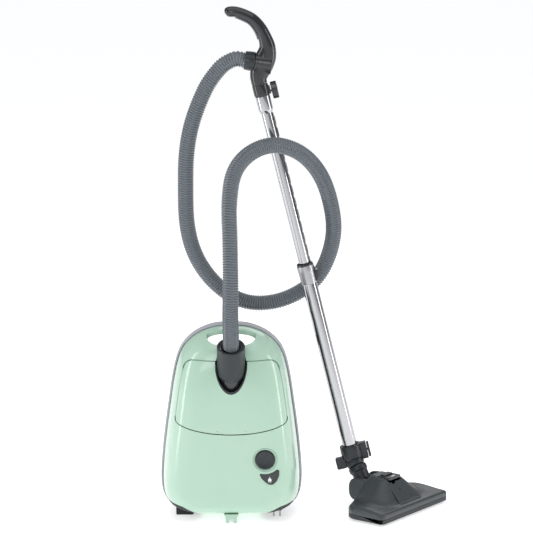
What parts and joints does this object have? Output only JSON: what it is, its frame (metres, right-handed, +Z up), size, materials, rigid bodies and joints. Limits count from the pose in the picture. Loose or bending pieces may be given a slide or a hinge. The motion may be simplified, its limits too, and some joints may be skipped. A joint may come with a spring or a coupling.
{
  "type": "canister vacuum cleaner",
  "caption": "Canister vacuum cleaner parked upright, with hinged lid, casters, cord rewind, ribbed suction hose, bent grip, telescopic wand and swivelling floor head.",
  "frame": {"origin": "floor level, under the middle of the footprint of everything but the free hose", "axes": "+Z up; -Y towards the canister's top cover, the side the picture shows; +X towards the wand and floor head"},
  "size_m": [0.639, 0.3182, 1.1273],
  "materials": {
    "mint_gloss": "gloss",
    "dark_matte": "satin",
    "black_gloss": "gloss",
    "belt_grey": "woven",
    "hose_grey": "ribbed satin",
    "chrome_tube": "polished",
    "steel_part": "satin",
    "copper_coil": "wound wire",
    "rubber_black": "matte",
    "filter_white": "felt",
    "bag_fleece": "fleece",
    "bag_card": "matte",
    "prong_nickel": "plated"
  },
  "bodies": {
    "machine": {"top_cover": "mint_gloss", "lower_shell": "dark_matte", "bumper_belt": "belt_grey", "corner_left": "dark_matte", "corner_right": "dark_matte", "button_ring": "mint_gloss", "switch_bridge": "dark_matte", "bulkhead": "dark_matte", "motor_filter": "filter_white", "motor_housing": "dark_matte", "motor_stator": "copper_coil", "motor_frame": "dark_matte", "exhaust_filter": "filter_white", "reel_axle": "dark_matte", "dust_bag": "bag_fleece", "bag_collar": "bag_card", "bag_holder": "dark_matte", "lid_hinge_pin": "steel_part", "hose": "hose_grey", "handle_body": "black_gloss", "handle_insert": "dark_matte", "handle_collar": "black_gloss", "tube_sleeve": "chrome_tube", "inner_tube": "chrome_tube", "tooth_rail": "steel_part"},
    "lid": {"lid": "mint_gloss", "inlet_socket": "black_gloss"},
    "latch": {"lid_latch": "dark_matte"},
    "canister_cuff": {"hose_cuff": "dark_matte"},
    "handle_cuff": {"handle_hose_cuff": "dark_matte"},
    "power_button": {"power_button": "dark_matte"},
    "rewind_pedal": {"rewind_pedal": "dark_matte"},
    "plug": {"plug_body": "dark_matte", "prong_left": "prong_nickel", "prong_right": "prong_nickel"},
    "reel": {"cord_reel": "dark_matte", "wound_cord": "rubber_black"},
    "rotor": {"motor_rotor": "steel_part"},
    "handle_lock": {"handle_lock_button": "steel_part"},
    "lower_wand": {"outer_tube": "chrome_tube", "tube_clamp": "steel_part", "elbow_cuff": "dark_matte"},
    "tube_slider": {"tube_slider_button": "black_gloss"},
    "elbow_latch": {"elbow_latch": "dark_matte"},
    "neck": {"neck": "dark_matte"},
    "floor_head": {"head_base": "dark_matte", "head_top": "dark_matte"},
    "head_pedal": {"head_pedal": "dark_matte"},
    "brush_front": {"brush_front": "rubber_black"},
    "brush_rear": {"brush_rear": "rubber_black"},
    "head_wheel_left": {"head_wheel_left": "rubber_black"},
    "head_wheel_right": {"head_wheel_right": "rubber_black"},
    "fork_front_left": {"fork_front_left": "dark_matte"},
    "wheel_front_left": {"wheel_front_left": "rubber_black"},
    "fork_front_right": {"fork_front_right": "dark_matte"},
    "wheel_front_right": {"wheel_front_right": "rubber_black"},
    "fork_rear_left": {"fork_rear_left": "dark_matte"},
    "wheel_rear_left": {"wheel_rear_left": "rubber_black"},
    "fork_rear_right": {"fork_rear_right": "dark_matte"},
    "wheel_rear_right": {"wheel_rear_right": "rubber_black"}
  },
  "joints": [
    {"name": "lid_hinge", "type": "hinge", "parent": "machine", "child": "lid", "pos_m": [-0.1607, -0.0848, 0.1762], "axis": [1, 0, 0], "range_deg": [0, 75], "deforming": ["hose"]},
    {"name": "latch_slide", "type": "slide", "parent": "lid", "child": "latch", "axis": [0, 0, -1], "range_m": [0, 0.004], "stiffness_N_per_m": 120, "springref_m": -0.001},
    {"name": "cuff_swivel", "type": "hinge", "parent": "lid", "child": "canister_cuff", "pos_m": [-0.1607, -0.105, 0.4082], "axis": [0, -0.407, 0.9134], "continuous": true},
    {"name": "handle_cuff_swivel", "type": "hinge", "parent": "machine", "child": "handle_cuff", "pos_m": [-0.1087, 0.0847, 1.0045], "axis": [-0.9903, 0, 0.139], "continuous": true},
    {"name": "power_press", "type": "slide", "parent": "machine", "child": "power_button", "axis": [0, 1, 0], "range_m": [0, 0.0035], "stiffness_N_per_m": 600, "springref_m": -0.001},
    {"name": "rewind_press", "type": "slide", "parent": "machine", "child": "rewind_pedal", "axis": [0, 1, 0], "range_m": [0, 0.004], "stiffness_N_per_m": 600, "springref_m": -0.001},
    {"name": "plug_pull", "type": "slide", "parent": "machine", "child": "plug", "axis": [0, 0, -1], "range_m": [0, 0.06]},
    {"name": "reel_spin", "type": "hinge", "parent": "machine", "child": "reel", "pos_m": [-0.0927, 0.0147, 0.086], "axis": [0, 1, 0], "continuous": true},
    {"name": "rotor_spin", "type": "hinge", "parent": "machine", "child": "rotor", "pos_m": [-0.2157, 0.0217, 0.1], "axis": [0, 0, 1], "continuous": true},
    {"name": "handle_lock_press", "type": "slide", "parent": "machine", "child": "handle_lock", "axis": [-0.971, 0, -0.239], "range_m": [0, 0.0016], "stiffness_N_per_m": 400, "springref_m": -0.001},
    {"name": "telescope", "type": "slide", "parent": "machine", "child": "lower_wand", "axis": [-0.239, 0, 0.971], "range_m": [0, 0.32]},
    {"name": "slider_shift", "type": "slide", "parent": "lower_wand", "child": "tube_slider", "axis": [0.239, 0, -0.971], "range_m": [0, 0.005], "stiffness_N_per_m": 200, "springref_m": -0.001},
    {"name": "elbow_latch_press", "type": "slide", "parent": "lower_wand", "child": "elbow_latch", "axis": [-0.971, 0, -0.239], "range_m": [0, 0.001], "stiffness_N_per_m": 400, "springref_m": -0.001},
    {"name": "neck_swivel", "type": "hinge", "parent": "lower_wand", "child": "neck", "pos_m": [0.1121, 0.0847, 0.1], "axis": [-0.4157, 0.3821, 0.8253], "range_deg": [-45, 45]},
    {"name": "head_tilt", "type": "hinge", "parent": "neck", "child": "floor_head", "pos_m": [0.1393, 0.0597, 0.046], "axis": [0.6, 0.8, 0], "range_deg": [-30, 30]},
    {"name": "pedal_rock", "type": "hinge", "parent": "floor_head", "child": "head_pedal", "pos_m": [0.1909, 0.0235, 0.076], "axis": [0.6, 0.8, 0], "range_deg": [0, 8]},
    {"name": "brush_front_drop", "type": "slide", "parent": "floor_head", "child": "brush_front", "axis": [0, 0, -1], "range_m": [0, 0.0035]},
    {"name": "brush_rear_drop", "type": "slide", "parent": "floor_head", "child": "brush_rear", "axis": [0, 0, -1], "range_m": [0, 0.0035]},
    {"name": "head_wheel_left_spin", "type": "hinge", "parent": "floor_head", "child": "head_wheel_left", "pos_m": [0.1365, -0.0007, 0.0085], "axis": [0.6, 0.8, 0], "continuous": true},
    {"name": "head_wheel_right_spin", "type": "hinge", "parent": "floor_head", "child": "head_wheel_right", "pos_m": [0.1989, 0.0825, 0.0085], "axis": [0.6, 0.8, 0], "continuous": true},
    {"name": "swivel_front_left", "type": "hinge", "parent": "machine", "child": "fork_front_left", "pos_m": [-0.2457, 0.0937, 0.335], "axis": [0, 1, 0], "continuous": true},
    {"name": "roll_front_left", "type": "hinge", "parent": "fork_front_left", "child": "wheel_front_left", "pos_m": [-0.2457, 0.1172, 0.321], "axis": [1, 0, 0], "continuous": true},
    {"name": "swivel_front_right", "type": "hinge", "parent": "machine", "child": "fork_front_right", "pos_m": [-0.0757, 0.0937, 0.335], "axis": [0, 1, 0], "continuous": true},
    {"name": "roll_front_right", "type": "hinge", "parent": "fork_front_right", "child": "wheel_front_right", "pos_m": [-0.0757, 0.1172, 0.321], "axis": [1, 0, 0], "continuous": true},
    {"name": "swivel_rear_left", "type": "hinge", "parent": "machine", "child": "fork_rear_left", "pos_m": [-0.2657, 0.0937, 0.085], "axis": [0, 1, 0], "continuous": true},
    {"name": "roll_rear_left", "type": "hinge", "parent": "fork_rear_left", "child": "wheel_rear_left", "pos_m": [-0.2657, 0.1172, 0.071], "axis": [1, 0, 0], "continuous": true},
    {"name": "swivel_rear_right", "type": "hinge", "parent": "machine", "child": "fork_rear_right", "pos_m": [-0.0557, 0.0937, 0.085], "axis": [0, 1, 0], "continuous": true},
    {"name": "roll_rear_right", "type": "hinge", "parent": "fork_rear_right", "child": "wheel_rear_right", "pos_m": [-0.0557, 0.1172, 0.071], "axis": [1, 0, 0], "continuous": true}
  ],
  "couplings": [
    {"joint": "brush_front_drop", "follows": "pedal_rock", "m_per_rad": 0.025},
    {"joint": "brush_rear_drop", "follows": "pedal_rock", "m_per_rad": 0.025}
  ]
}
